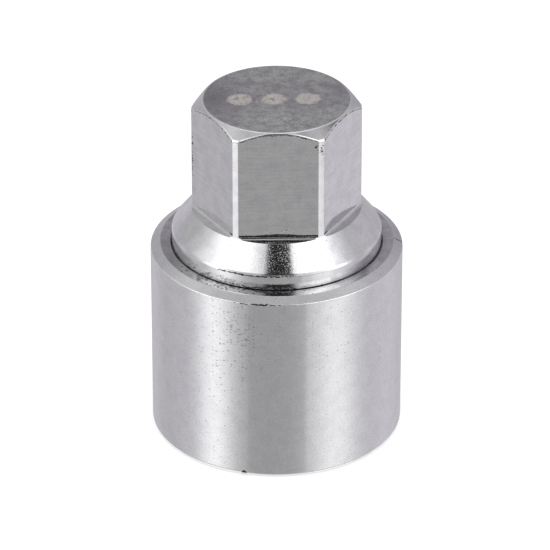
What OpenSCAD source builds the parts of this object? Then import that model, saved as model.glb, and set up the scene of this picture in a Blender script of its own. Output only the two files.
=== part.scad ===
// Key for a locking wheel nut: a hexagon for the wheel brace, turned and
// milled in one piece with a flanged core, and a round guide sleeve that the
// core is pressed into. The socket in the sleeve goes over the nut's head, and
// the wavy ridge on the core's lower face drops into the groove in the nut.
// The key stands on the sleeve's rim at z = 0, with its axis along +Z.

/* [Hex drive] */
// Distance across the flats, which the wheel brace grips
hex_af = 19; // [17:0.5:21]
// Diameter of the turned blank, which leaves a narrow band at each corner
hex_blank_d = 21.45; // [20:0.05:23]
// Height of the hexagon, from the milled ledge to the top face
hex_h = 14.8; // [10:0.1:25]
// Radius that the milling cutter leaves at the foot of each flat
hex_root_r = 0.35; // [0.1:0.05:0.8]
// How far the cutter goes below the top of the cone
ledge_cut = 0.1; // [0.02:0.02:0.4]
// Slope of the turned crown round the top face, in degrees
crown_angle = 39; // [25:1:50]
// Fall of the crown from the top face to the corners
crown_drop = 1.14; // [0.6:0.02:2]
// Radius that softens the edge of the top face
crown_edge_r = 0.6; // [0.1:0.05:1]

/* [Shoulder and core] */
// Slope of the cone between the hexagon and the flange, in degrees
cone_angle = 51.5; // [35:0.5:62]
// Diameter of the flange and of the pressed core below it
core_d = 26.7; // [26:0.1:28]
// Height of the flange that shows above the sleeve
flange_h = 1.98; // [1:0.02:5]
// Chamfer on the upper edge of the flange
flange_break = 0.15; // [0.05:0.05:0.5]
// Chamfer that leads the core's lower edge into the press bore
core_lead = 0.4; // [0.1:0.05:0.45]

/* [Guide sleeve] */
// Wall of the sleeve round the pressed core
sleeve_wall = 2.7; // [2.3:0.05:5]
// Height of the sleeve
sleeve_h = 25.67; // [22:0.01:40]
// Width of the chamfer round the sleeve's upper end
sleeve_chamfer_w = 1.2; // [0.4:0.05:1.3]
// Depth of that chamfer down the outer wall
sleeve_chamfer_h = 0.67; // [0.3:0.01:2]
// Chamfer at the mouth of the press bore, the dark groove round the flange
seam_break = 0.25; // [0.1:0.05:0.4]
// Chamfer on the outer edge of the lower rim
rim_break = 0.4; // [0.1:0.05:0.8]

/* [Socket] */
// Depth of the socket, from the rim to the shoulder that the core seats on
socket_depth = 11.5; // [6:0.5:16]
// Width of that shoulder, by which the socket is narrower than the press bore
seat_w = 0.85; // [0.5:0.05:1.5]
// Lead-in chamfer at the socket's mouth
socket_lead = 1; // [0.3:0.1:1.2]

/* [Lock pattern] */
// Width of the ring on the core's lower face that bears on the nut
nut_ring_w = 1.3; // [0.8:0.05:1.8]
// Depth of the pocket milled inside that ring
pocket_depth = 3.2; // [2:0.1:5]
// Chamfer round the pocket's mouth
pocket_break = 0.3; // [0.1:0.05:0.5]
// How far the tip of the ridge stays back from the core's lower face
ridge_setback = 0.3; // [0.1:0.05:0.8]
// Thickness of the ridge
ridge_w = 1.6; // [1:0.1:2]
// Narrowest gap between the ridge and the wall of the pocket
ridge_gap = 1.35; // [1:0.05:2]
// Number of broad waves round the curve
broad_waves = 3; // [2:1:4]
// Swing of the broad waves to each side of the mean circle
broad_swing = 1.1; // [0.4:0.05:1.2]
// Number of fine waves round the curve
fine_waves = 5; // [3:1:6]
// Swing of the fine waves to each side of the mean circle
fine_swing = 0.55; // [0.1:0.05:0.6]
// Angle that the fine waves are turned by, in degrees
fine_turn = 40; // [0:5:90]

/* [Fit] */
// Gap between the core and the press bore, on the radius
press_gap = 0; // [0:0.005:0.05]

/* [Hidden] */
$fn = 180;
past = 1;             // overrun of a cutter beyond the surface it opens
ridge_points = 96;    // points round the ridge's curve
arc_steps = 6;        // straight steps in a small fillet

hex_sides = 6;
blank_r = hex_blank_d / 2;
core_r = core_d / 2;
press_bore_r = core_r + press_gap;
sleeve_r = press_bore_r + sleeve_wall;
socket_r = press_bore_r - seat_w;
pocket_r = socket_r - nut_ring_w;

seat_z = socket_depth;
flange_top_z = sleeve_h + flange_h;
cone_top_z = flange_top_z + (core_r - blank_r) * tan(cone_angle);
ledge_z = cone_top_z - ledge_cut;
top_z = ledge_z + hex_h;
pocket_floor_z = seat_z + pocket_depth;
ridge_tip_z = seat_z + ridge_setback;

// The crown's cone would meet the top face at this radius, before its edge is softened
crown_land_r = blank_r - crown_drop / tan(crown_angle);
crown_tangent = crown_edge_r * tan(crown_angle / 2);

// Mean radius of the closed curve that the ridge follows
ridge_r = pocket_r - ridge_gap - ridge_w / 2 - broad_swing - fine_swing;

// Points on an arc of radius r about c, from angle a0 to angle a1
function arc(c, r, a0, a1, steps = arc_steps) =
    [for (i = [0:steps]) let (a = a0 + (a1 - a0) * i / steps) c + r * [cos(a), sin(a)]];

// Radius of the ridge's centre line at angle a, and its rate of change per radian
function ridge_radius(a) =
    ridge_r + broad_swing * cos(broad_waves * a) + fine_swing * cos(fine_waves * (a - fine_turn));
function ridge_slope(a) =
    -broad_waves * broad_swing * sin(broad_waves * a)
    - fine_waves * fine_swing * sin(fine_waves * (a - fine_turn));

// Point at distance d outside the ridge's centre line, square to it
function ridge_point(a, d) =
    let (
        r = ridge_radius(a),
        radial = [cos(a), sin(a)],
        around = [-sin(a), cos(a)],
        outward = r * radial - ridge_slope(a) * around
    )
    r * radial + d * outward / norm(outward);

module ridge_outline(d) {
    polygon([for (i = [0:ridge_points - 1]) ridge_point(i * 360 / ridge_points, d)]);
}

// The core as it leaves the lathe: pressed shank, flange, cone, blank and crown
module turned_core() {
    rotate_extrude()
        polygon(concat(
            [
                [0, seat_z],
                [core_r - core_lead, seat_z],
                [core_r, seat_z + core_lead],
                [core_r, flange_top_z - flange_break],
                [core_r - flange_break, flange_top_z - flange_break + flange_break * tan(cone_angle)],
                [blank_r, cone_top_z],
                [blank_r, top_z - crown_drop]
            ],
            arc([crown_land_r - crown_tangent, top_z - crown_edge_r], crown_edge_r, 90 - crown_angle, 90),
            [[0, top_z]]
        ));
}

// What the milling cutter takes off one side: a slab with a rounded lower corner
module flat_cut() {
    inner = hex_af / 2;
    outer = core_r + past;
    rotate([90, 0, 0])
        linear_extrude(2 * outer, center = true)
            polygon(concat(
                [[outer, ledge_z], [outer, top_z + past], [inner, top_z + past]],
                arc([inner + hex_root_r, ledge_z + hex_root_r], hex_root_r, 180, 270)
            ));
}

// Six equal flats, with one facing -Y
module hex_flats() {
    for (i = [0:hex_sides - 1])
        rotate(i * 360 / hex_sides - 90)
            flat_cut();
}

module lock_ridge() {
    translate([0, 0, ridge_tip_z])
        linear_extrude(pocket_floor_z - ridge_tip_z + past)
            difference() {
                ridge_outline(ridge_w / 2);
                ridge_outline(-ridge_w / 2);
            }
}

// What the end mill takes out of the lower face: all of the pocket but the ridge
module lock_pocket() {
    difference() {
        union() {
            translate([0, 0, seat_z - past])
                cylinder(h = pocket_depth + past, r = pocket_r);
            translate([0, 0, seat_z])
                cylinder(h = pocket_break, r1 = pocket_r + pocket_break, r2 = pocket_r);
        }
        lock_ridge();
    }
}

module drive_core() {
    color("silver")
        difference() {
            turned_core();
            hex_flats();
            lock_pocket();
        }
}

module guide_sleeve() {
    color("lightsteelblue")
        rotate_extrude()
            polygon([
                [socket_r + socket_lead, 0],
                [sleeve_r - rim_break, 0],
                [sleeve_r, rim_break],
                [sleeve_r, sleeve_h - sleeve_chamfer_h],
                [sleeve_r - sleeve_chamfer_w, sleeve_h],
                [press_bore_r + seam_break, sleeve_h],
                [press_bore_r, sleeve_h - seam_break],
                [press_bore_r, seat_z],
                [socket_r, seat_z],
                [socket_r, socket_lead]
            ]);
}

drive_core();
guide_sleeve();
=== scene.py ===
"""Looks of a key for a locking wheel nut: a milled hexagon on a flanged core, pressed into a turned sleeve.

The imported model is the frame. Both pieces are built again here with the edges softened as on the real
key, so that they catch the light, and are dressed as plated steel. Sizes are in millimetres.
"""

from __future__ import annotations

import logging
import math
from collections.abc import Sequence
from dataclasses import dataclass
from enum import Enum

import bmesh
import bpy
import numpy as np
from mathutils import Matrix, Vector

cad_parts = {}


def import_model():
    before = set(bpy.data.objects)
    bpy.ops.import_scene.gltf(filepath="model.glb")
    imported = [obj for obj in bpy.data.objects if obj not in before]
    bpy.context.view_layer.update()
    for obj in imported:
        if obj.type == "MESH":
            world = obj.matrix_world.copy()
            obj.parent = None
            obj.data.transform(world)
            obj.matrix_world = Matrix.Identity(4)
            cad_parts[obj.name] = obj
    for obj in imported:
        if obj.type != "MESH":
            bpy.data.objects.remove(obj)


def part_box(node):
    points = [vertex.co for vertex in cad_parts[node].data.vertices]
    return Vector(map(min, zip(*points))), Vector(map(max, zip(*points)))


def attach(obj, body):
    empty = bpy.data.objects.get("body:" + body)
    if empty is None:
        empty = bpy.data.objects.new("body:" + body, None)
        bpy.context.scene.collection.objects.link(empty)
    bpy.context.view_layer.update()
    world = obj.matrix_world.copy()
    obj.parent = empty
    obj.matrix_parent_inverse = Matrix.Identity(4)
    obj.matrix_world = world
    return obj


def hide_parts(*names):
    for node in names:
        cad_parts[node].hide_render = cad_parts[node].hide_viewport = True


LOG = logging.getLogger("wheel_nut_key")
MM = 0.001
WHITE = "#FFFFFF"

Point = np.ndarray
Tree = bpy.types.NodeTree
Node = bpy.types.Node
Socket = bpy.types.NodeSocket


class Skin(Enum):
    """The surfaces of the key that were made in different ways."""

    TURNED = "turned"
    MILLED = "milled"
    FACED = "faced"
    BORED = "bored"
    # Dirt and painted shade in the seam between the pieces
    SOILED = "soiled"
    EDGE = "edge"


def srgb(hex_colour: str) -> tuple[float, float, float, float]:
    """Turns an sRGB hex colour into linear values.

    Args:
        hex_colour: six hex digits after a hash.

    Returns:
        Linear red, green and blue, and an alpha of 1.
    """
    values = [int(hex_colour[i : i + 2], 16) / 255 for i in (1, 3, 5)]
    linear = [v / 12.92 if v <= 0.04045 else ((v + 0.055) / 1.055) ** 2.4 for v in values]
    return (*linear, 1.0)


def add_node(
    tree: Tree, kind: str, *values: object, inputs: dict[str, object] | None = None, **settings: object
) -> Node:
    """Adds one node with its settings and links.

    Args:
        tree: the node tree that gets the node.
        kind: the node's type name, without the ShaderNode that it starts with.
        values: what each input takes in turn: a plain value, an output, or a node for its first output.
        inputs: the same for inputs that are given by name.
        settings: properties of the node itself.

    Returns:
        The new node.
    """
    node = tree.nodes.new(f"ShaderNode{kind}")
    for name, value in settings.items():
        setattr(node, name, value)
    for name, value in [*enumerate(values), *(inputs or {}).items()]:
        source = value.outputs[0] if isinstance(value, Node) else value
        if isinstance(source, Socket):
            tree.links.new(source, node.inputs[name])
        else:
            node.inputs[name].default_value = source
    return node


def empty_tree(owner: bpy.types.Material | bpy.types.World) -> Tree:
    """Gives a material or a world a node tree without nodes.

    Args:
        owner: the material or the world.

    Returns:
        Its empty node tree.
    """
    owner.use_nodes = True
    owner.node_tree.nodes.clear()
    return owner.node_tree


def placed(name: str, data: bpy.types.ID) -> bpy.types.Object:
    """Puts a new object in the scene.

    Args:
        name: the object's name.
        data: its mesh, light or camera.

    Returns:
        The new object.
    """
    item = bpy.data.objects.new(name, data)
    bpy.context.scene.collection.objects.link(item)
    return item


class Patch:
    """A patch of the surface where something has gathered, and in some finishes where shade is painted,
    densest in its middle.
    """

    share: float

    def away(self, tree: Tree, place: Node) -> Node | Socket:
        """Adds the distance from the patch's middle, which is 1 at its reach."""
        raise NotImplementedError

    def mask(self, tree: Tree, place: Node) -> Node:
        """Adds the patch's mask.

        Args:
            tree: the node tree that gets the nodes.
            place: the coordinates in millimetres.

        Returns:
            The share in the patch's middle, falling to 0 at its reach.
        """
        inside = add_node(tree, "Math", 1.0, self.away(tree, place), operation="SUBTRACT")
        inside = add_node(tree, "Math", inside, 0.0, operation="MAXIMUM")
        return add_node(tree, "Math", inside, self.share, operation="MULTIPLY")


@dataclass(frozen=True)
class Spot(Patch):
    """A round or long patch: its middle, its reach along each axis and its share."""

    middle: tuple[float, float, float]
    reach: tuple[float, float, float]
    share: float

    def away(self, tree: Tree, place: Node) -> Socket:
        """Adds the distance from the spot's middle.

        Args:
            tree: the node tree that gets the nodes.
            place: the coordinates in millimetres.

        Returns:
            The distance, which is 1 at the spot's reach.
        """
        away = add_node(tree, "VectorMath", place, self.middle, operation="SUBTRACT")
        scaled = add_node(tree, "VectorMath", away, self.reach, operation="DIVIDE")
        return add_node(tree, "VectorMath", scaled, operation="LENGTH").outputs["Value"]


@dataclass(frozen=True)
class ConeLine(Patch):
    """A patch along the line in which a cone about the axis cuts the surface.

    The line is at a height where the surface has the given radius, and falls by the slope as it widens.
    """

    radius: float
    height: float
    slope: float
    reach: float
    share: float

    def away(self, tree: Tree, place: Node) -> Node:
        """Adds the distance from the line.

        Args:
            tree: the node tree that gets the nodes.
            place: the coordinates in millimetres.

        Returns:
            The distance, which is 1 at the line's reach.
        """
        level = add_node(tree, "VectorMath", place, (1.0, 1.0, 0.0), operation="MULTIPLY")
        radius = add_node(tree, "VectorMath", level, operation="LENGTH").outputs["Value"]
        wider = add_node(tree, "Math", radius, self.radius, operation="SUBTRACT")
        height = add_node(tree, "SeparateXYZ", place).outputs["Z"]
        height = add_node(tree, "Math", wider, self.slope, height, operation="MULTIPLY_ADD")
        off = add_node(tree, "Math", height, self.height, operation="SUBTRACT")
        off = add_node(tree, "Math", off, operation="ABSOLUTE")
        return add_node(tree, "Math", off, self.reach, operation="DIVIDE")


def gathered(tree: Tree, place: Node, patches: Sequence[Patch]) -> Node | float:
    """Adds the masks of some patches.

    Args:
        tree: the node tree that gets the nodes.
        place: the coordinates in millimetres.
        patches: the patches.

    Returns:
        The greatest of their masks, or 0 where there is no patch.
    """
    total: Node | float = 0.0
    for patch in patches:
        total = add_node(tree, "Math", patch.mask(tree, place), total, operation="MAXIMUM")
    return total


@dataclass(frozen=True)
class Pattern:
    """An irregular pattern: its blobs' size, its finer layers, a step in it and how it is drawn out."""

    size_mm: float
    detail: float
    step: tuple[float, float] | None = None
    drawn: tuple[float, float, float] = (1.0, 1.0, 1.0)
    fall: float = 0.55

    def build(self, tree: Tree, place: Node) -> tuple[Node, Node]:
        """Adds the pattern.

        Args:
            tree: the node tree that gets the nodes.
            place: the coordinates in millimetres.

        Returns:
            The plain pattern, and the pattern with its smooth step from 0 to 1, if it has one.
        """
        drawn = add_node(tree, "VectorMath", place, self.drawn, operation="MULTIPLY")
        sizes = {"Scale": 1 / self.size_mm, "Detail": self.detail, "Roughness": self.fall}
        plain = add_node(tree, "TexNoise", inputs={"Vector": drawn, **sizes})
        if self.step is None:
            return plain, plain
        low, high = self.step
        span = {"Value": plain, "From Min": low, "From Max": high}
        return plain, add_node(tree, "MapRange", inputs=span, interpolation_type="SMOOTHSTEP")


@dataclass(frozen=True)
class Pips:
    """The etched mark on the upper end: a row of plain round pips with ragged, patchy etching."""

    across: float = 3.5
    spacing: float = 4.3
    count: int = 3
    middle: tuple[float, float] = (-0.35, -0.1)
    edge: float = 0.4
    ragged: Pattern = Pattern(0.7, detail=4.0)
    ragged_by: float = 0.9
    patchy: Pattern = Pattern(0.45, detail=3.0, step=(0.2, 0.55))

    def mask(self, tree: Tree, place: Node) -> Node:
        """Adds the mark's mask.

        Args:
            tree: the node tree that gets the nodes.
            place: the coordinates in millimetres.

        Returns:
            1 on a pip, less where the etching is patchy, and 0 elsewhere.
        """
        ragged, _ = self.ragged.build(tree, place)
        _, patchy = self.patchy.build(tree, place)
        reach = (self.across + self.ragged_by) / 2
        total: object = 0.0
        for i in range(self.count):
            middle = (self.middle[0] + (i - (self.count - 1) / 2) * self.spacing, self.middle[1], 0.0)
            away = add_node(tree, "VectorMath", place, middle, operation="SUBTRACT")
            away = add_node(tree, "VectorMath", away, (1.0, 1.0, 0.0), operation="MULTIPLY")
            away = add_node(tree, "VectorMath", away, operation="LENGTH").outputs["Value"]
            away = add_node(tree, "Math", ragged, self.ragged_by, away, operation="MULTIPLY_ADD")
            inside = add_node(tree, "Math", reach, away, operation="SUBTRACT")
            inside = add_node(tree, "Math", inside, self.edge, operation="DIVIDE", use_clamp=True)
            total = add_node(tree, "Math", inside, total, operation="MAXIMUM")
        return add_node(tree, "Math", total, patchy, operation="MULTIPLY")


@dataclass(frozen=True)
class Layer:
    """What one pattern does to the steel: its mask, the colour it brings, its relief and its roughness."""

    mask: Node
    colour: str = ""
    share: float = 1.0
    relief_mm: float = 0.0
    rough: float = 0.0


@dataclass(frozen=True)
class PlatedSteel:
    """Machined carbon steel with a thin bright nickel plate, which shows every tool mark below it.

    The plate gives the eye a neutral, soft mirror: broad reflections with a fine grain, small dark pits
    where the plate didn't cover, dirt that has stayed along the edges, and painted shade along the seam
    and in the creases. Such plate is a full metal, about 0.05 rough where it is bright and 0.3 where the
    steel below is coarse. A pixel of the render is about 0.13 mm on the key.
    """

    name: str
    colour: str = "#EFEFF0"
    tarnish: str = "#E2E1E4"
    metallic: float = 1.0
    roughness: float = 0.09
    roughness_swing: float = 0.04
    # The plate's own grain is 0.02 to 0.05 mm, too fine for the render, so it is drawn coarser to show
    grain_mm: float = 0.2
    grain_depth_mm: float = 0.004
    grain_tone: float = 0.07
    # Bright specks of rough grain, as coarse as a pixel for the same reason
    glint_mm: float = 0.15
    glint_rough: float = 0.0
    glinting: tuple[Patch, ...] = ()
    # A turned or milled face waves by a few thousandths of a millimetre about every millimetre
    ripple_mm: float = 0.9
    ripple_depth_mm: float = 0.004
    # Tarnish lies in faint clouds of a millimetre or two
    cloud_mm: float = 1.6
    # A cutter's lines are often about 0.1 mm apart and are drawn twice as far apart to show
    lines_mm: float = 0.0
    lines_depth_mm: float = 0.0
    lines_tone: float = 0.0
    # Each cell of this size holds at most one pit, which is up to a few tenths of a millimetre wide
    pits_mm: float = 0.75
    pit_share: float = 0.16
    pit_flat: float = 3.6
    pit_cover: float = 0.55
    pit_width: float = 0.95
    pit_sharpness: float = 14.0
    pit_colour: str = "#4C4B4A"
    pitted: tuple[Patch, ...] = ()
    # Dirt is drawn out along the turning, and lies where its grain plus the spots' share is over a limit; a
    # spot with a high share goes over it everywhere, and draws a solid painted dark line of shade
    dirt: Pattern = Pattern(0.28, detail=3.0, drawn=(0.6, 0.6, 1.6))
    dirt_gain: float = 0.6
    dirt_limit: float = 0.82
    dirt_sharpness: float = 12.0
    dark_relief_mm: float = -0.02
    dark_rough: float = 0.25
    spots: tuple[Patch, ...] = ()
    # Stains that a finish really has, and painted shade beside the seam, both in the stain colour
    stains_and_shade: tuple[Patch, ...] = ()
    stain_and_shade_colour: str = "#B3AFB5"
    pips: Pips | None = None
    pip_colour: str = "#E8E3DC"
    pip_relief_mm: float = -0.01
    pip_rough: float = 0.3

    def material(self) -> bpy.types.Material:
        """Builds the material.

        Returns:
            A metal whose colour, roughness and bump all come from patterns with real sizes.
        """
        material = bpy.data.materials.new(self.name)
        tree = empty_tree(material)
        metres = add_node(tree, "TexCoord").outputs["Object"]
        place = add_node(tree, "VectorMath", metres, (1 / MM,) * 3, operation="MULTIPLY")
        tint: object = srgb(self.colour)
        rough: object = self.roughness
        height: object = 0.0
        for layer in self.layers(tree, place):
            if layer.colour:
                share = add_node(tree, "Math", layer.mask, layer.share, operation="MULTIPLY")
                blend = {"Factor": share, "A": tint, "B": srgb(layer.colour)}
                tint = add_node(tree, "Mix", inputs=blend, data_type="RGBA").outputs["Result"]
            if layer.relief_mm:
                height = add_node(tree, "Math", layer.mask, layer.relief_mm, height, operation="MULTIPLY_ADD")
            if layer.rough:
                rough = add_node(tree, "Math", layer.mask, layer.rough, rough, operation="MULTIPLY_ADD")
        bump = add_node(tree, "Bump", inputs={"Strength": 1.0, "Distance": MM, "Height": height})
        steel = {"Base Color": tint, "Metallic": self.metallic, "Roughness": rough, "Normal": bump}
        shader = add_node(tree, "BsdfPrincipled", inputs=steel)
        add_node(tree, "OutputMaterial", shader)
        return material

    def layers(self, tree: Tree, place: Node) -> list[Layer]:
        """Adds the finish's patterns.

        Args:
            tree: the node tree that gets the nodes.
            place: the coordinates in millimetres.

        Returns:
            What each of them does to the steel, from the plate up to the dirt.
        """
        grain, speckled = Pattern(self.grain_mm, detail=2.0, step=(0.35, 0.65)).build(tree, place)
        ripple, _ = Pattern(self.ripple_mm, detail=2.0).build(tree, place)
        cloud, tarnished = Pattern(self.cloud_mm, detail=6.0, step=(0.36, 0.7)).build(tree, place)
        layers = [Layer(tarnished, self.tarnish), Layer(cloud, rough=self.roughness_swing)]
        # Stains, and painted shade where a finish lays its stain patches beside the seam
        if self.stains_and_shade:
            stain_and_shade_mask = add_node(tree, "Math", gathered(tree, place, self.stains_and_shade), 1.0, operation="MINIMUM")
            layers.append(Layer(stain_and_shade_mask, self.stain_and_shade_colour))
        layers.append(Layer(speckled, self.pit_colour, self.grain_tone))
        layers.append(Layer(grain, relief_mm=self.grain_depth_mm))
        if self.glint_rough:
            _, peaks = Pattern(self.glint_mm, detail=1.0, step=(0.53, 0.68)).build(tree, place)
            near = add_node(tree, "Math", gathered(tree, place, self.glinting), 1.0, operation="MINIMUM")
            peaks = add_node(tree, "Math", peaks, near, operation="MULTIPLY")
            layers.append(Layer(peaks, rough=self.glint_rough))
        layers.append(Layer(ripple, relief_mm=self.ripple_depth_mm))
        if self.lines_mm:
            level = Pattern(self.lines_mm, detail=2.0, step=(0.36, 0.64), drawn=(0.05, 0.05, 1.0))
            lines, cut = level.build(tree, place)
            layers.append(Layer(lines, relief_mm=self.lines_depth_mm))
            layers.append(Layer(cut, self.pit_colour, self.lines_tone))
        if self.pips:
            mark = self.pips.mask(tree, place)
            layers.append(Layer(mark, self.pip_colour, relief_mm=self.pip_relief_mm, rough=self.pip_rough))
        pits = self.pits(tree, place)
        dark = add_node(tree, "Math", pits, self.dirt_and_painted_lines(tree, place), operation="MAXIMUM")
        layers.append(Layer(dark, self.pit_colour, relief_mm=self.dark_relief_mm, rough=self.dark_rough))
        return layers

    def pits(self, tree: Tree, place: Node) -> Node:
        """Adds the small dark pits in the plate, more of them where it is pitted.

        Args:
            tree: the node tree that gets the nodes.
            place: the coordinates in millimetres.

        Returns:
            How dark it is: up to pit_cover in a pit and 0 elsewhere.
        """
        drawn = add_node(tree, "VectorMath", place, (1.0, 1.0, self.pit_flat), operation="MULTIPLY")
        sizes = {"Scale": 1 / self.pits_mm, "Randomness": 1.0}
        cells = add_node(tree, "TexVoronoi", inputs={"Vector": drawn, **sizes})
        # Each cell draws a number, and it has a pit if the number is over what the share leaves out
        draw = add_node(tree, "SeparateColor", cells.outputs["Color"])
        share = add_node(tree, "Math", gathered(tree, place, self.pitted), self.pit_share, operation="ADD")
        over = add_node(tree, "Math", draw, 1.0, operation="SUBTRACT")
        over = add_node(tree, "Math", over, share, operation="ADD")
        width = add_node(tree, "Math", over, self.pit_width, operation="MULTIPLY")
        inside = add_node(tree, "Math", width, cells.outputs["Distance"], operation="SUBTRACT")
        pit = add_node(tree, "Math", inside, self.pit_sharpness, operation="MULTIPLY", use_clamp=True)
        return add_node(tree, "Math", pit, self.pit_cover, operation="MULTIPLY")

    def dirt_and_painted_lines(self, tree: Tree, place: Node) -> Node:
        """Adds the broken dirt of the spots, and the solid painted dark lines of shade that spots with a high
        share draw.

        Args:
            tree: the node tree that gets the nodes.
            place: the coordinates in millimetres.

        Returns:
            1 on dirt and on the painted lines of shade, and 0 elsewhere.
        """
        ragged, _ = self.dirt.build(tree, place)
        spots = gathered(tree, place, self.spots)
        level = add_node(tree, "Math", spots, self.dirt_gain, ragged, operation="MULTIPLY_ADD")
        over = add_node(tree, "Math", level, self.dirt_limit, operation="SUBTRACT")
        return add_node(tree, "Math", over, self.dirt_sharpness, operation="MULTIPLY", use_clamp=True)


# The bores are left as the tool cut them, so their plate is duller, and the inside looks calm and grey
BORED_STEEL = PlatedSteel("bored_steel_plated", roughness=0.26)

# Old oil and dust in the seam, with painted shade where the crevice falls dark, make it a dark and dull line
SEAM_DIRT_AND_SHADE_STEEL = PlatedSteel(
    "steel_with_seam_dirt_and_painted_shade",
    metallic=0.4,
    colour="#8E8C8A",
    tarnish="#605E5D",
    pit_colour="#1C1B1A",
    roughness=0.35,
    pit_share=0.4,
    spots=(Spot((0.0, -13.3, 25.6), (14.0, 8.0, 4.0), 1.3),),
)


@dataclass(frozen=True)
class Corner:
    """A corner of an outline: its point, how far it is softened, what follows it and what rounds it."""

    point: Point
    soft: float
    skin: Skin
    edge: Skin | None = None


@dataclass(frozen=True)
class Row:
    """A point on a softened outline, the way the outline runs there, and the surface that follows it."""

    point: Point
    way: Point
    skin: Skin


def unit(vector: Point) -> Point:
    """The vector at a length of 1."""
    return vector / max(float(np.linalg.norm(vector)), 1e-12)


def ring_point(angle: float, radius: float, z: float) -> Point:
    """The point at an angle in degrees from the front, a radius and a height."""
    a = math.radians(angle)
    return np.array([radius * math.sin(a), -radius * math.cos(a), z])


def soften(corners: Sequence[Corner], steps: int = 4, most: float = 0.46) -> list[Row]:
    """Rounds the corners of an open outline.

    Args:
        corners: the outline's corners, in order.
        steps: straight steps in each rounding.
        most: the most of a straight side that one rounding takes.

    Returns:
        The softened outline: one row for a corner that stays sharp, and steps + 1 for a soft one.
    """
    spans = [b.point - a.point for a, b in zip(corners, corners[1:])]
    lengths = [max(float(np.linalg.norm(span)), 1e-9) for span in spans]
    ways = [span / length for span, length in zip(spans, lengths)]
    rows = [Row(corners[0].point, ways[0], corners[0].skin)]
    for i, corner in enumerate(corners[1:-1], 1):
        if not corner.soft:
            rows.append(Row(corner.point, unit(ways[i - 1] + ways[i]), corner.skin))
            continue
        start = corner.point - ways[i - 1] * min(corner.soft, most * lengths[i - 1])
        end = corner.point + ways[i] * min(corner.soft, most * lengths[i])
        for step in range(steps + 1):
            t = step / steps
            point = (1 - t) ** 2 * start + 2 * t * (1 - t) * corner.point + t * t * end
            way = (1 - t) * (corner.point - start) + t * (end - corner.point)
            skin = corner.edge if corner.edge and step < steps else corner.skin
            rows.append(Row(point, unit(way), skin))
    rows.append(Row(corners[-1].point, ways[-1], corners[-1].skin))
    return rows


@dataclass
class TurnedPiece:
    """A closed body of revolution, or nearly one, built column by column round the Z axis."""

    name: str
    node: str
    slot: str
    column_step: float = 1.5
    normal_step: float = 0.01
    on_axis: float = 1e-6
    same_point: float = 1e-5
    no_normal: float = 1e-10

    def finishes(self) -> dict[Skin, PlatedSteel]:
        """The finish of each of the piece's surfaces."""
        raise NotImplementedError

    def angles(self) -> list[float]:
        """Angles of the columns, in degrees from the front, towards +X."""
        return [i * self.column_step for i in range(round(360 / self.column_step))]

    def column(self, angle: float) -> list[Corner]:
        """The outline's corners at one angle."""
        raise NotImplementedError

    def skin(self, angle: float, row: Row) -> Skin:
        """The surface of the face that follows a row at an angle."""
        return row.skin

    def build(self) -> bpy.types.Object:
        """Builds the piece.

        Returns:
            The new object, which rides on the key's one body and stands for its CAD node.
        """
        piece = placed(self.name, self.mesh())
        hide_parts(self.node)
        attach(piece, "root")
        return piece

    def dress(self, piece: bpy.types.Object) -> None:
        """Gives each of the piece's surfaces its finish."""
        for finish in self.finishes().values():
            piece.data.materials.append(finish.material())

    def columns(self) -> list[tuple[list[Row], list[Point]]]:
        """Works out the softened outline and its exact normals at every angle.

        Returns:
            The rows of each column and their normals.
        """
        columns = []
        for angle in self.angles():
            rows = soften(self.column(angle))
            after = soften(self.column(angle + self.normal_step))
            before = soften(self.column(angle - self.normal_step))
            normals = []
            for row, ahead, behind in zip(rows, after, before):
                normal = np.cross(row.way, ahead.point - behind.point)
                if float(np.linalg.norm(normal)) < self.no_normal:
                    # On the axis the columns meet, and the surface looks up if they run outward
                    normal = np.array([0.0, 0.0, row.way @ ring_point(angle, 1.0, 0.0)])
                normals.append(unit(normal))
            columns.append((rows, normals))
        return columns

    def mesh(self) -> bpy.types.Mesh:
        """Joins the columns into one mesh.

        Returns:
            The closed mesh, with its normals and with a material for each face.
        """
        skins = list(self.finishes())
        columns = self.columns()
        places: list[Point] = []
        normals: list[Point] = []
        index: list[list[int]] = []
        for rows, looks in columns:
            ids: list[int] = []
            for i, (row, look) in enumerate(zip(rows, looks)):
                if index and float(np.hypot(row.point[0], row.point[1])) < self.on_axis:
                    ids.append(index[0][i])
                elif ids and np.linalg.norm(row.point - places[ids[-1]]) < self.same_point:
                    ids.append(ids[-1])
                else:
                    ids.append(len(places))
                    places.append(row.point)
                    normals.append(look)
            index.append(ids)
        faces: list[list[int]] = []
        dressed: list[int] = []
        angles = self.angles()
        for i, (rows, _) in enumerate(columns):
            here, there = index[i], index[(i + 1) % len(index)]
            middle = angles[i] + 0.5 * ((angles[(i + 1) % len(angles)] - angles[i]) % 360)
            for k, row in enumerate(rows[:-1]):
                ring = [here[k], here[k + 1], there[k + 1], there[k]]
                face = [v for j, v in enumerate(ring) if v != ring[j - 1]]
                if len(set(face)) == len(face) and len(face) > 2:
                    faces.append(face)
                    dressed.append(skins.index(self.skin(middle, row)))
        mesh = bpy.data.meshes.new(self.name)
        mesh.from_pydata([tuple(p * MM) for p in places], [], faces)
        mesh.polygons.foreach_set("material_index", dressed)
        mesh.shade_smooth()
        mesh.normals_split_custom_set_from_vertices([tuple(n) for n in normals])
        mesh.validate(clean_customdata=False)
        return mesh


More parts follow.
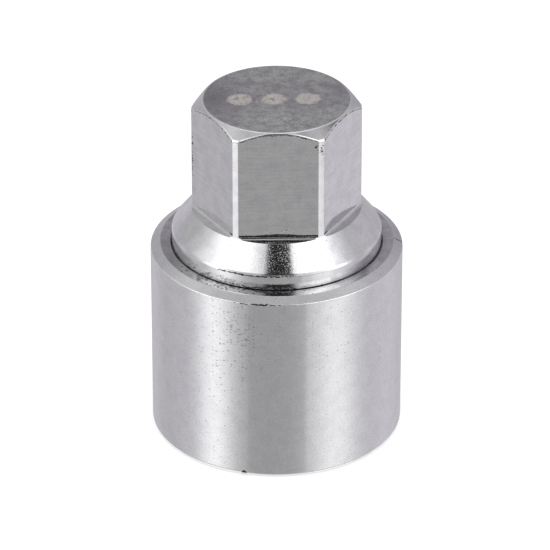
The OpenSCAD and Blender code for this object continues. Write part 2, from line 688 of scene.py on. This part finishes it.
@dataclass
class DriveCore(TurnedPiece):
    """The core: crown, six milled flats, shoulder, flange, pressed shank and the lock ridge below."""

    core_r: float = 13.35
    seat_z: float = 11.5
    sleeve_top: float = 25.67
    top_z: float = 45.65
    hex_af: float = 19.0
    blank_r: float = 10.725
    hex_h: float = 14.8
    flat_edge: float = 0.05
    root_r: float = 0.35
    root_steps: int = 8
    ledge_cut: float = 0.1
    ledge_soft: float = 0.04
    crown_angle: float = 39.0
    crown_drop: float = 1.14
    crown_soft: float = 0.26
    top_soft: float = 0.14
    cone_angle: float = 51.5
    flange_break: float = 0.15
    flange_soft: float = 0.06
    shank_lead: float = 0.4
    shank_soft: float = 0.03
    dirt_and_shade_above: float = 0.1
    dirt_and_shade_below: float = 0.3
    socket_r: float = 12.5
    nut_ring_w: float = 1.3
    pocket_break: float = 0.3
    pocket_soft: float = 0.06
    pocket_depth: float = 3.2
    floor_soft: float = 0.3
    ridge_setback: float = 0.3
    ridge_w: float = 1.6
    ridge_gap: float = 1.35
    ridge_foot_soft: float = 0.25
    ridge_tip_soft: float = 0.18
    broad_waves: int = 3
    broad_swing: float = 1.1
    fine_waves: int = 5
    fine_swing: float = 0.55
    fine_turn: float = 40.0
    # Columns of the mesh in half a flat, in degrees, and those beside the edge where the flat ends
    flat_step: float = 2.4
    flat_steps: int = 10
    last_column: float = 29.5
    edge_columns: tuple[float, ...] = (-2.2, -1.2, -0.7, -0.35, 0.0, 0.35, 0.7, 1.2)
    # Rings that only divide the top face and the flats, as shares of their width and height
    top_rings: tuple[float, ...] = (0.0, 0.5, 0.9)
    flat_rings: tuple[float, ...] = (0.3, 0.7)
    root_ring_gap: float = 0.1
    floor_ring: float = 0.5

    def finishes(self) -> dict[Skin, PlatedSteel]:
        """The finish of each of the core's surfaces.

        Returns:
            The finishes, in the order of the materials.
        """
        top = self.top_z
        # Turned fine and plated bright: the cone and the corners mirror the panels nearly sharply. Rough
        # specks catch light in the dark patch in front, painted shade darkens the flange wall beside the
        # seam, and dirt lies along the flange and the seam
        turned = PlatedSteel(
            "turned_steel_bright_plated",
            glint_rough=0.24,
            glinting=(Spot((0.3, -12.0, 29.4), (5.0, 4.0, 2.0), 3.0),),
            stain_and_shade_colour="#7C7A7D",
            # Painted shade: a darker band round the flange wall and the shank beside the seam
            stains_and_shade=(ConeLine(13.35, 25.6, 0.0, 0.8, 0.5),),
            spots=(
                Spot((-3.0, -13.3, 27.5), (11.5, 7.0, 0.28), 0.9),
                Spot((-2.5, -13.3, 25.9), (11.5, 8.0, 0.5), 0.72),
                Spot((-7.5, -11.0, 26.6), (7.0, 7.0, 1.3), 0.36),
                Spot((-6.0, -10.6, 28.6), (5.0, 5.0, 1.8), 0.2),
                Spot((5.4, -9.3, 43.2), (0.8, 0.8, 1.6), 0.7),
            ),
        )
        # Milled across: the flats are even satin mirrors with faint level lines, a painted dark line of shade
        # under the crown and in the root of the front flat, and dirt in the root and at the corners
        milled = PlatedSteel(
            "milled_steel_bright_plated",
            colour="#F1F1F1",
            tarnish="#E6E5E7",
            lines_mm=0.22,
            lines_depth_mm=0.0012,
            lines_tone=0.075,
            ripple_depth_mm=0.002,
            pit_share=0.2,
            spots=(
                # Painted shade: a solid dark line along the root of the front flat
                Spot((0.0, -9.5, 31.24), (40.0, 1.5, 0.18), 2.4),
                Spot((0.0, -9.5, 31.9), (5.0, 1.5, 1.1), 0.55),
                Spot((4.7, -9.3, 43.6), (1.0, 1.0, 2.0), 0.65),
                Spot((-4.6, -9.4, 44.2), (1.0, 1.0, 1.0), 0.6),
                Spot((-10.6, -0.5, 38.0), (0.4, 0.9, 8.0), 0.75),
                # Painted shade: a dark line under the crown, where its rounded edge mirrors dark
                ConeLine(9.317, 45.5, 0.81, 0.17, 0.72),
            ),
        )
        # Faced, and worn by handling: the top is dull, mottled grey with darker, stained sides
        faced = PlatedSteel(
            "faced_steel_dull_plated",
            colour="#F3F5F0",
            tarnish="#CBCACB",
            roughness=0.22,
            cloud_mm=1.1,
            grain_mm=0.17,
            grain_depth_mm=0.006,
            grain_tone=0.26,
            glint_mm=0.22,
            glint_rough=0.3,
            glinting=(
                Spot((-3.0, 1.0, top), (9.0, 7.0, 2.0), 1.0),
                Spot((0.0, -6.0, top), (9.0, 4.0, 2.0), 1.0),
            ),
            stains_and_shade=(
                Spot((-8.0, 0.5, top), (6.0, 9.0, 2.0), 1.0),
                Spot((0.0, 0.5, top), (9.0, 5.0, 2.0), 0.5),
                Spot((8.5, 2.0, top), (4.0, 6.0, 2.0), 0.5),
            ),
            pips=Pips(),
        )
        # Burnished by hands and tools, and whiter as a painted highlight: a softer, whiter line of light
        # along the edges
        edge = PlatedSteel("burnished_steel_edge_painted_highlight", colour="#FAFAFA", tarnish="#F0F0F0", roughness=0.32)
        return {
            Skin.TURNED: turned,
            Skin.MILLED: milled,
            Skin.FACED: faced,
            Skin.BORED: BORED_STEEL,
            Skin.SOILED: SEAM_DIRT_AND_SHADE_STEEL,
            Skin.EDGE: edge,
        }

    @property
    def ledge_z(self) -> float:
        """Height of the milled ledge."""
        return self.top_z - self.hex_h

    @property
    def pocket_r(self) -> float:
        """Radius of the pocket in the lower face."""
        return self.socket_r - self.nut_ring_w

    @property
    def half_flat(self) -> float:
        """Half the angle that one flat takes, seen from the axis, in degrees."""
        return math.degrees(math.acos(self.hex_af / 2 / self.blank_r))

    def angles(self) -> list[float]:
        """Works out the angles of the columns, which stand close together where a flat ends.

        Returns:
            The angles in degrees from the front, towards +X.
        """
        half = [i * self.flat_step for i in range(1, self.flat_steps + 1)]
        half += [self.half_flat + near for near in self.edge_columns]
        half.append(self.last_column)
        sector = sorted([0.0, 30.0, *half, *(-angle for angle in half)])
        return [side * 60 + angle for side in range(6) for angle in sector]

    def blank_height(self, radius: float) -> float:
        """Height at which the turned cone has a radius."""
        drop = (radius - self.blank_r) * math.tan(math.radians(self.cone_angle))
        return self.ledge_z + self.ledge_cut - drop

    def blank(self, z: float) -> float:
        """Radius of the turned blank at a height."""
        cone_top = self.ledge_z + self.ledge_cut
        return self.blank_r + max(0.0, cone_top - z) / math.tan(math.radians(self.cone_angle))

    def ridge(self, angle: float, offset: float, z: float) -> Point:
        """Point beside the ridge's centre line.

        Args:
            angle: degrees from the front.
            offset: distance outside the centre line, square to it.
            z: height.

        Returns:
            The point.
        """
        a = math.radians(angle - 90)
        fine = a - math.radians(self.fine_turn)
        mean = self.pocket_r - self.ridge_gap - self.ridge_w / 2 - self.broad_swing - self.fine_swing
        r = mean + self.broad_swing * math.cos(self.broad_waves * a)
        r += self.fine_swing * math.cos(self.fine_waves * fine)
        slope = -self.broad_waves * self.broad_swing * math.sin(self.broad_waves * a)
        slope -= self.fine_waves * self.fine_swing * math.sin(self.fine_waves * fine)
        radial = np.array([math.cos(a), math.sin(a), 0.0])
        around = np.array([-math.sin(a), math.cos(a), 0.0])
        point = r * radial + offset * unit(r * radial - slope * around)
        point[2] = z
        return point

    def column(self, angle: float) -> list[Corner]:
        """The core's outline at one angle, from the middle of the top face to that of the pocket's floor."""
        return self.hexagon(angle) + self.shoulder(angle) + self.pocket(angle)

    def hexagon(self, angle: float) -> list[Corner]:
        """The top face, the crown, one flat or corner band, and the root below it.

        Args:
            angle: degrees from the front.

        Returns:
            The outline's corners, down to the ledge.
        """
        half_af = self.hex_af / 2
        c = math.cos(math.radians((angle + 30) % 60 - 30))
        # A soft minimum rounds the upright edges between the flats and the corner bands
        flat, band = half_af / c, self.blank_r
        mix = max(0.0, 1 - abs(flat - band) / self.flat_edge)
        wall = min(flat, band) - mix * mix * self.flat_edge / 4
        steep = math.tan(math.radians(self.crown_angle))
        land = self.blank_r - self.crown_drop / steep
        edge_z = self.top_z - (wall - land) * steep
        points = [
            *((land * share, self.top_z, 0.0, Skin.FACED) for share in self.top_rings),
            (land, self.top_z, self.top_soft, Skin.TURNED, Skin.EDGE),
            (wall, edge_z, self.crown_soft, Skin.MILLED),
            *((wall, self.top_z - share * self.hex_h, 0.0, Skin.MILLED) for share in self.flat_rings),
            (wall, self.ledge_z + self.root_r + self.root_ring_gap, 0.0, Skin.MILLED),
        ]
        for step in range(self.root_steps + 1):
            a = math.radians(90 * step / self.root_steps)
            x = half_af + self.root_r * (1 - math.cos(a))
            z = self.ledge_z + self.root_r * (1 - math.sin(a))
            foot = min(x / c, self.blank(z), wall if step == 0 else math.inf)
            points.append((foot, z, 0.0, Skin.MILLED))
        return [Corner(ring_point(angle, x, z), *rest) for x, z, *rest in points]

    def shoulder(self, angle: float) -> list[Corner]:
        """The ledge's rim, the cone, the flange and the pressed shank.

        Args:
            angle: degrees from the front.

        Returns:
            The outline's corners, down to the shank's lower end.
        """
        r, rim = self.core_r, self.core_r - self.flange_break
        middle = 0.5 * (self.blank_r + r)
        points = [
            (self.blank(self.ledge_z), self.ledge_z, self.ledge_soft, Skin.TURNED),
            (middle, self.blank_height(middle), 0.0, Skin.TURNED),
            (rim, self.blank_height(rim), self.flange_soft, Skin.TURNED),
            (r, self.blank_height(r) - self.flange_break, self.flange_soft, Skin.TURNED),
            # The shank beside the seam takes the dark seam skin: dirt and painted shade
            (r, self.sleeve_top + self.dirt_and_shade_above, 0.0, Skin.SOILED),
            (r, self.sleeve_top - self.dirt_and_shade_below, 0.0, Skin.TURNED),
            (r, self.seat_z + self.shank_lead, self.shank_soft, Skin.TURNED),
            (r - self.shank_lead, self.seat_z, self.shank_soft, Skin.BORED),
        ]
        return [Corner(ring_point(angle, x, z), soft, skin) for x, z, soft, skin in points]

    def pocket(self, angle: float) -> list[Corner]:
        """The pocket in the lower face and the lock ridge that stands in it.

        Args:
            angle: degrees from the front.

        Returns:
            The outline's corners, to the middle of the pocket's floor.
        """
        floor_z = self.seat_z + self.pocket_depth
        tip_z = self.seat_z + self.ridge_setback
        half_w = self.ridge_w / 2
        inner_foot = self.ridge(angle, -half_w, floor_z)
        points = [
            (ring_point(angle, self.pocket_r + self.pocket_break, self.seat_z), self.pocket_soft),
            (ring_point(angle, self.pocket_r, self.seat_z + self.pocket_break), self.pocket_soft),
            (ring_point(angle, self.pocket_r, floor_z), self.floor_soft),
            (self.ridge(angle, half_w, floor_z), self.ridge_foot_soft),
            (self.ridge(angle, half_w, tip_z), self.ridge_tip_soft),
            (self.ridge(angle, -half_w, tip_z), self.ridge_tip_soft),
            (inner_foot, self.ridge_foot_soft),
            (inner_foot * np.array([self.floor_ring, self.floor_ring, 1.0]), 0.0),
            (np.array([0.0, 0.0, floor_z]), 0.0),
        ]
        return [Corner(point, soft, Skin.BORED) for point, soft in points]

    def skin(self, angle: float, row: Row) -> Skin:
        """The surface of the face that follows a row: the corner bands between the flats are turned."""
        in_band = abs((angle + 30) % 60 - 30) > self.half_flat
        return Skin.TURNED if row.skin is Skin.MILLED and in_band else row.skin


@dataclass
class GuideSleeve(TurnedPiece):
    """The sleeve: a turned ring with a chamfered upper end, a press bore and the socket below it."""

    outer_r: float = 16.05
    height: float = 25.67
    core_r: float = 13.35
    socket_r: float = 12.5
    seat_z: float = 11.5
    seat_gap: float = 0.01
    seat_soft: float = 0.02
    chamfer_w: float = 1.2
    chamfer_h: float = 0.67
    chamfer_soft: float = 0.07
    shoulder_soft: float = 0.11
    seam_break: float = 0.18
    seam_soft: float = 0.03
    groove_soft: float = 0.05
    dirt_and_shade_depth: float = 0.3
    rim_break: float = 0.4
    rim_soft: float = 0.12
    socket_lead: float = 1.0
    lead_soft: float = 0.1
    # Rings that only divide the outer wall, in mm from its ends, and the socket, as a share of its depth
    wall_ring: float = 4.0
    socket_ring: float = 0.6

    def finishes(self) -> dict[Skin, PlatedSteel]:
        """The finish of each of the sleeve's surfaces.

        Returns:
            The finishes, in the order of the materials.
        """
        top = self.height
        edge_dirt = Spot((-2.2, -15.8, 24.98), (6.0, 4.0, 0.22), 0.95)
        scratch = Spot((15.45, 0.0, 25.3), (1.1, 0.17, 0.8), 1.5)
        nick = Spot((-4.5, -15.45, 0.15), (0.42, 0.9, 0.6), 4.4)
        # Turned and plated bright: broad, soft bands of light run down the barrel, with fine dark pits
        # that gather left of the middle
        turned = PlatedSteel(
            "turned_sleeve_bright_plated",
            tarnish="#E8E7E9",
            grain_tone=0.1,
            ripple_depth_mm=0.001,
            pits_mm=0.46,
            pit_share=0.26,
            pit_flat=2.3,
            pit_cover=0.34,
            pitted=(
                Spot((-4.9, -15.3, 20.8), (4.5, 4.5, 6.0), 0.55),
                Spot((-6.0, -15.0, 18.0), (9.0, 9.0, 11.0), 0.34),
                Spot((-9.0, -13.2, 14.0), (9.0, 9.0, 16.0), 0.16),
                Spot((8.0, -13.9, 18.5), (12.0, 12.0, 12.0), 0.14),
            ),
            spots=(nick, edge_dirt, scratch),
        )
        # Faced, and a little duller: painted shade darkens the ring beside the seam, most at its inside, in
        # front and on the left
        faced = PlatedSteel(
            "faced_sleeve_plated",
            colour="#EEEEEF",
            tarnish="#D6D6D8",
            roughness=0.16,
            grain_tone=0.16,
            stain_and_shade_colour="#8C8A8C",
            # Painted shade on the ring: in front, along the seam and on the left
            stains_and_shade=(
                Spot((-4.5, -14.0, top), (10.0, 3.5, 2.0), 0.75),
                ConeLine(13.4, top, 1.0, 0.8, 0.38),
                Spot((-13.0, -5.0, top), (5.0, 12.0, 2.0), 0.5),
            ),
            pits_mm=0.5,
            pitted=(Spot((-9.0, -10.5, top), (9.0, 9.0, 2.0), 0.75),),
            spots=(
                Spot((-4.5, -13.9, top), (12.0, 2.0, 0.5), 0.44),
                Spot((-9.5, -9.8, top), (8.0, 7.0, 0.5), 0.4),
                Spot((9.0, -10.3, top), (7.0, 5.0, 0.5), 0.25),
                scratch,
            ),
        )
        # Burnished by hands and tools, and whiter as a painted highlight: a white line along the chamfer,
        # broken by dirt in front
        edge = PlatedSteel(
            "burnished_sleeve_edge_painted_highlight",
            colour="#FAFAFA",
            tarnish="#F0F0F0",
            roughness=0.3,
            spots=(edge_dirt, scratch),
        )
        return {
            Skin.TURNED: turned,
            Skin.FACED: faced,
            Skin.BORED: BORED_STEEL,
            Skin.SOILED: SEAM_DIRT_AND_SHADE_STEEL,
            Skin.EDGE: edge,
        }

    def column(self, angle: float) -> list[Corner]:
        """The sleeve's outline at one angle, from the seam down the outside and up the socket.

        Args:
            angle: degrees from the front.

        Returns:
            The outline's corners.
        """
        r, h, bore, socket = self.outer_r, self.height, self.core_r, self.socket_r
        points = [
            (bore, self.seat_z + self.seat_gap, 0.0, Skin.BORED),
            # The bore beside the seam takes the dark seam skin: dirt and painted shade
            (bore, h - self.seam_break - self.dirt_and_shade_depth, 0.0, Skin.SOILED),
            (bore, h - self.seam_break, self.seam_soft, Skin.SOILED),
            (bore + self.seam_break, h, self.groove_soft, Skin.FACED),
            (r - self.chamfer_w, h, self.chamfer_soft, Skin.TURNED),
            (r, h - self.chamfer_h, self.shoulder_soft, Skin.TURNED, Skin.EDGE),
            (r, h - self.wall_ring, 0.0, Skin.TURNED),
            (r, h / 2, 0.0, Skin.TURNED),
            (r, self.wall_ring, 0.0, Skin.TURNED),
            (r, self.rim_break, self.rim_soft, Skin.TURNED),
            (r - self.rim_break, 0, self.rim_soft, Skin.BORED),
            (socket + self.socket_lead, 0, self.lead_soft, Skin.BORED),
            (socket, self.socket_lead, self.lead_soft, Skin.BORED),
            (socket, self.seat_z * self.socket_ring, 0.0, Skin.BORED),
            (socket, self.seat_z, self.seat_soft, Skin.BORED),
            (bore, self.seat_z, 0.0, Skin.BORED),
        ]
        return [Corner(ring_point(angle, x, z), *rest) for x, z, *rest in points]


SIDE_TINT = "#F3ECFE"


@dataclass(frozen=True)
class SoftPanel:
    """One soft panel of the light tent: its place seen from the key, its width, its level and its tint.

    A panel with a level below 0 is a black flag, which takes light away.
    """

    azimuth: float
    elevation: float
    spread: float
    level: float
    tint: str = WHITE

    def direction(self) -> tuple[float, float, float]:
        """Unit vector from the key to the panel's middle."""
        a, e = math.radians(self.azimuth), math.radians(self.elevation)
        return (math.sin(a) * math.cos(e), -math.cos(a) * math.cos(e), math.sin(e))

    def light(self) -> tuple[float, float, float]:
        """The panel's linear colour times its level."""
        red, green, blue, _ = srgb(self.tint)
        return (red * self.level, green * self.level, blue * self.level)


@dataclass
class Studio:
    """The floor, the light tent that the metal mirrors, the lamp and the camera."""

    view_turn: float = -1.4
    view_height: float = 29.224
    camera_distance: float = 581.35
    target_side: float = -0.205
    target_z: float = 20.39
    focal_px: float = 4547.85
    image_px: float = 550.0
    sensor_mm: float = 36.0
    clip_m: tuple[float, float] = (0.01, 10.0)
    floor_half_m: float = 3.0
    floor_drop: float = 0.02
    floor_glow: float = 0.45
    plain_light: float = 0.6
    lamp_size_m: float = 0.5
    lamp_energy: float = 1.2
    lamp_place_m: tuple[float, float, float] = (0.0, -0.1, 0.7)
    lamp_tilt: float = -8.0
    tent_r: float = 900.0
    tent_steps: int = 5
    room_level: float = 0.348
    # The dark gap in front, in degrees, with half the width of each of its soft edges
    gap_middle: float = 3.2
    gap_half: float = 16.7
    gap_half_soft: float = 1.6
    gap_lowest: float = 21.0
    gap_lowest_soft: float = 4.0
    gap_low_level: float = 0.45
    horizon_soft: float = 11.0
    gap_highest: float = 66.0
    gap_highest_soft: float = 5.0
    gap_level: float = 0.028
    # The cards: the side, the near edge in degrees and the level of each
    cards: tuple[tuple[float, float, float], ...] = ((1.0, 27.0, 0.12), (-1.0, 26.6, 0.07))
    card_edge_soft: float = 1.0
    card_top_soft: float = 8.0
    card_fade: float = 40.0
    panels: tuple[SoftPanel, ...] = (
        SoftPanel(-68.0, 38.0, 0.125, 0.86),
        SoftPanel(51.0, 38.0, 0.1, 1.04),
        SoftPanel(-58.5, -31.0, 0.04, 0.67),
        SoftPanel(-42.0, 44.0, 0.045, 0.6),
        SoftPanel(40.0, 44.0, 0.05, 0.5),
        SoftPanel(-66.0, 6.0, 0.025, 1.3),
        SoftPanel(66.0, 6.0, 0.025, 1.3),
        SoftPanel(56.0, -34.0, 0.065, 0.54),
        SoftPanel(-124.0, 56.0, 0.03, 0.16),
        SoftPanel(120.0, 60.0, 0.03, 0.22),
        SoftPanel(-146.0, -15.0, 0.06, 0.2, SIDE_TINT),
        SoftPanel(148.0, 0.0, 1.0, 0.22, SIDE_TINT),
        SoftPanel(-95.0, -32.0, 0.095, 0.15, SIDE_TINT),
        SoftPanel(118.0, -39.0, 0.11, 0.16, SIDE_TINT),
        SoftPanel(-113.0, 2.0, 0.02, 0.12),
        SoftPanel(113.0, 2.0, 0.02, 0.1),
        SoftPanel(180.0, 74.0, 0.007, 1.2),
        SoftPanel(-149.0, 69.0, 0.007, 1.0),
        SoftPanel(149.0, 69.0, 0.007, 1.0),
        SoftPanel(-168.0, -49.0, 0.014, 0.9),
        SoftPanel(168.0, -49.0, 0.014, 0.8),
        SoftPanel(171.0, 16.0, 0.1, -0.25),
        SoftPanel(-90.0, 62.0, 0.03, -0.2),
        SoftPanel(92.0, 58.0, 0.03, -0.2),
        SoftPanel(62.0, 65.0, 0.012, -0.34),
        SoftPanel(107.0, 43.0, 0.018, -0.32),
        SoftPanel(117.0, 36.5, 0.008, -0.24),
        SoftPanel(-66.0, 64.0, 0.014, -0.16),
        SoftPanel(-102.0, 47.0, 0.02, -0.12),
    )

    def floor(self) -> None:
        """Lays a plain white floor, which keeps the key's shadow."""
        side = self.floor_half_m
        corners = [(-side, -side, 0), (side, -side, 0), (side, side, 0), (-side, side, 0)]
        mesh = bpy.data.meshes.new("floor")
        mesh.from_pydata(corners, [], [(0, 1, 2, 3)])
        floor = placed("floor", mesh)
        floor.location.z = -self.floor_drop * MM
        floor.visible_glossy = False
        # White paper, which gives the eye an even ground that only the key's shadow darkens
        material = bpy.data.materials.new("floor_white_paper")
        tree = empty_tree(material)
        diffuse = add_node(tree, "BsdfDiffuse", srgb("#F2F2F2"))
        seen = self.seen_directly(tree, self.floor_glow)
        glow = add_node(tree, "Emission", srgb(WHITE), seen)
        both = add_node(tree, "AddShader", diffuse, glow)
        add_node(tree, "OutputMaterial", both)
        mesh.materials.append(material)

    @staticmethod
    def seen_directly(tree: Tree, level: float) -> Node:
        """A level that only the camera, and what mirrors or passes light, sees.

        Args:
            tree: the node tree that gets the nodes.
            level: the level for those rays.

        Returns:
            The level for those rays, and 0 for the rest.
        """
        path = add_node(tree, "LightPath").outputs
        seen = add_node(tree, "Math", path["Is Camera Ray"], path["Is Glossy Ray"], operation="MAXIMUM")
        seen = add_node(tree, "Math", seen, path["Is Transmission Ray"], operation="MAXIMUM")
        return add_node(tree, "Math", seen, level, operation="MULTIPLY")

    def tent(self) -> None:
        """Hangs the light tent: a far shell of soft panels that only the metal's gloss sees."""
        bm = bmesh.new()
        bmesh.ops.create_icosphere(bm, subdivisions=self.tent_steps, radius=self.tent_r * MM)
        mesh = bpy.data.meshes.new("light_tent")
        bm.to_mesh(mesh)
        bm.free()
        mesh.shade_smooth()
        tent = placed("light_tent", mesh)
        tent.rotation_euler.z = math.radians(self.view_turn)
        tent.visible_camera = False
        tent.visible_diffuse = False
        tent.visible_shadow = False
        tent.visible_transmission = False
        # Lit cloth, which gives the eye the broad, soft lights and darks that the plate mirrors
        material = bpy.data.materials.new("tent_panels")
        tree = empty_tree(material)
        place = add_node(tree, "TexCoord").outputs["Object"]
        way = add_node(tree, "VectorMath", place, operation="NORMALIZE")
        light: object = (self.room_level,) * 3
        for panel in self.panels:
            near = add_node(tree, "VectorMath", way, panel.direction(), operation="DOT_PRODUCT")
            off = add_node(tree, "Math", near.outputs["Value"], 1.0, operation="SUBTRACT")
            fall = add_node(tree, "Math", off, panel.spread, operation="DIVIDE")
            share = add_node(tree, "Math", fall, operation="EXPONENT")
            light = add_node(tree, "VectorMath", share, panel.light(), light, operation="MULTIPLY_ADD")
        azimuth, height = self.bearings(tree, way)
        gap = self.gap(tree, azimuth, height)
        card = self.card(tree, azimuth, height)
        light = add_node(tree, "VectorMath", light, gap, card, operation="MULTIPLY_ADD")
        glow = add_node(tree, "Emission", light, 1.0)
        add_node(tree, "OutputMaterial", glow)
        mesh.materials.append(material)

    @staticmethod
    def bearings(tree: Tree, way: Node) -> tuple[Node, Node]:
        """Works out the bearings of a direction.

        Args:
            tree: the node tree that gets the nodes.
            way: the direction from the key.

        Returns:
            The azimuth from the front and the elevation, in degrees.
        """
        parts = add_node(tree, "SeparateXYZ", way).outputs
        forward = add_node(tree, "Math", parts["Y"], -1.0, operation="MULTIPLY")
        azimuth = add_node(tree, "Math", parts["X"], forward, operation="ARCTAN2")
        height = add_node(tree, "Math", parts["Z"], operation="ARCSINE")
        azimuth = add_node(tree, "Math", azimuth, 180 / math.pi, operation="MULTIPLY")
        return azimuth, add_node(tree, "Math", height, 180 / math.pi, operation="MULTIPLY")

    def gap(self, tree: Tree, azimuth: Node, height: Node) -> Node:
        """Leaves the dark gap between the two front panels, through which the camera looks in.

        Args:
            tree: the node tree that gets the nodes.
            azimuth: degrees from the front.
            height: degrees above the horizon.

        Returns:
            A factor that is low in the gap and 1 elsewhere.
        """
        off = add_node(tree, "Math", azimuth, self.gap_middle, operation="SUBTRACT")
        off = add_node(tree, "Math", off, operation="ABSOLUTE")
        # For each edge, what it goes by, its middle and its half width, below 0 where the light is below
        edges = (
            (off, self.gap_half, self.gap_half_soft),
            (height, self.gap_lowest, -self.gap_lowest_soft),
            (height, 0.0, -self.horizon_soft),
            (height, self.gap_highest, self.gap_highest_soft),
        )
        steps = []
        for value, middle, soft in edges:
            span = {"Value": value, "From Min": middle - soft, "From Max": middle + soft}
            steps.append(add_node(tree, "MapRange", inputs=span, interpolation_type="SMOOTHSTEP"))
        side, low, lowest, high = steps
        low = add_node(tree, "Math", low, self.gap_low_level, operation="MULTIPLY")
        lit = add_node(tree, "Math", low, lowest, operation="MAXIMUM")
        lit = add_node(tree, "Math", lit, high, operation="MAXIMUM")
        lit = add_node(tree, "Math", side, lit, operation="MAXIMUM")
        return add_node(tree, "Math", lit, 1 - self.gap_level, self.gap_level, operation="MULTIPLY_ADD")

    def card(self, tree: Tree, azimuth: Node, height: Node) -> Node | float:
        """Lays the white cards low on each side, whose near edges draw the steps on the sleeve.

        Args:
            tree: the node tree that gets the nodes.
            azimuth: degrees from the front.
            height: degrees above the horizon.

        Returns:
            The cards' level.
        """
        total: Node | float = 0.0
        for side, near_edge, level in self.cards:
            past = add_node(tree, "Math", azimuth, side, -near_edge, operation="MULTIPLY_ADD")
            fade = add_node(tree, "Math", past, -1 / self.card_fade, operation="MULTIPLY")
            fade = add_node(tree, "Math", fade, operation="EXPONENT")
            fade = add_node(tree, "Math", fade, 1.0, operation="MINIMUM")
            lit: Node | float = level
            for value, soft in ((past, self.card_edge_soft), (height, -self.card_top_soft)):
                span = {"Value": value, "From Min": -soft, "From Max": soft}
                step = add_node(tree, "MapRange", inputs=span, interpolation_type="SMOOTHSTEP")
                lit = add_node(tree, "Math", step, lit, operation="MULTIPLY")
            total = add_node(tree, "Math", lit, fade, total, operation="MULTIPLY_ADD")
        return total

    def world(self) -> None:
        """Sets the plain world: white where it is seen, and a plain level of light elsewhere."""
        world = bpy.data.worlds.new("studio")
        bpy.context.scene.world = world
        tree = empty_tree(world)
        seen = self.seen_directly(tree, 1.0 - self.plain_light)
        strength = add_node(tree, "Math", seen, self.plain_light, operation="ADD")
        back = add_node(tree, "Background", srgb(WHITE), strength)
        add_node(tree, "OutputWorld", back)

    def lamp(self) -> None:
        """Hangs one large soft lamp over the key, for the floor's shadow."""
        light = bpy.data.lights.new("overhead_softbox", "AREA")
        light.shape = "DISK"
        light.size = self.lamp_size_m
        light.energy = self.lamp_energy
        lamp = placed("overhead_softbox", light)
        lamp.location = self.lamp_place_m
        lamp.rotation_euler = (math.radians(self.lamp_tilt), 0.0, 0.0)
        lamp.visible_glossy = False
        lamp.visible_camera = False

    def camera(self) -> None:
        """Places the camera where the photograph was taken from."""
        data = bpy.data.cameras.new("camera")
        data.sensor_width = self.sensor_mm
        data.lens = self.sensor_mm * self.focal_px / self.image_px
        data.clip_start, data.clip_end = self.clip_m
        camera = placed("camera", data)
        turn, height = math.radians(self.view_turn), math.radians(self.view_height)
        level = math.cos(height)
        back = Vector((math.sin(turn) * level, -math.cos(turn) * level, math.sin(height)))
        right = Vector((math.cos(turn), math.sin(turn), 0.0))
        target = right * self.target_side + Vector((0.0, 0.0, self.target_z))
        camera.location = (target + back * self.camera_distance) * MM
        camera.rotation_euler = (math.radians(90) - height, 0.0, turn)
        bpy.context.scene.camera = camera


def main() -> None:
    """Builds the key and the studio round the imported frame."""
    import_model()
    logging.basicConfig(level=logging.INFO, format="%(name)s: %(message)s")
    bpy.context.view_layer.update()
    core_low, core_high = (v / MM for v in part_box("drive_core"))
    _, sleeve_high = (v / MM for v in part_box("guide_sleeve"))

    core = DriveCore(
        "hex_drive_core",
        "drive_core",
        "core_plating",
        core_r=core_high.x,
        seat_z=core_low.z,
        sleeve_top=sleeve_high.z,
        top_z=core_high.z,
    )
    sleeve = GuideSleeve(
        "round_guide_sleeve",
        "guide_sleeve",
        "sleeve_plating",
        outer_r=sleeve_high.x,
        height=sleeve_high.z,
        core_r=core_high.x,
        seat_z=core_low.z,
    )
    for part in (core, sleeve):
        piece = part.build()
        part.dress(piece)
        LOG.info("%s: %d faces", piece.name, len(piece.data.polygons))

    studio = Studio()
    studio.floor()
    studio.tent()
    studio.world()
    studio.lamp()
    studio.camera()
    LOG.info("studio: floor, light tent with %d panels, lamp and camera", len(studio.panels))
    bpy.context.scene.view_settings.view_transform = "Standard"


if __name__ == "__main__":
    main()
